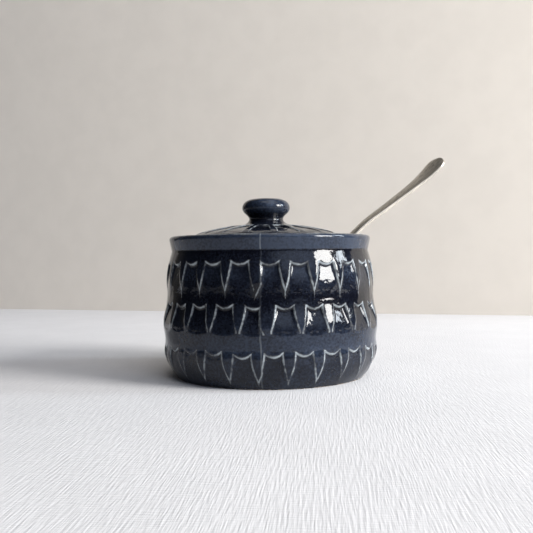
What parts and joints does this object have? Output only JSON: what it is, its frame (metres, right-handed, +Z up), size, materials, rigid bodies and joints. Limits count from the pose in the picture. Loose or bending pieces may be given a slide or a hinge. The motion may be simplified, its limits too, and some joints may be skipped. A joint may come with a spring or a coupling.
{
  "type": "sugar bowl",
  "caption": "Round covered stoneware sugar bowl with carved jar-shaped windows, a knobbed lid resting in its rim, and a steel spoon leaning out through the lid's notch.",
  "frame": {"origin": "centre of the foot ring, on the table plane", "axes": "+Z up through the knob; -Y towards the bowl's mould seam; the spoon leans out towards +X, 22 degrees round towards +Y"},
  "size_m": [0.1462, 0.1072, 0.1117],
  "materials": {
    "bowl_glaze": "gloss blue-black glaze, thin and greyer on edges",
    "lid_glaze": "gloss blue-black glaze, thin and greyer on edges",
    "spoon_steel": "satin"
  },
  "bodies": {
    "bowl": {"bowl": "bowl_glaze"},
    "lid": {"lid": "lid_glaze"},
    "spoon": {"spoon": "spoon_steel"}
  },
  "joints": [
    {"name": "lid_lift", "type": "slide", "parent": "bowl", "child": "lid", "axis": [0, 0, 1], "range_m": [0, 0.08]},
    {"name": "spoon_pull", "type": "slide", "parent": "bowl", "child": "spoon", "axis": [0.6983, 0.2864, 0.6561], "range_m": [0, 0.03]}
  ]
}
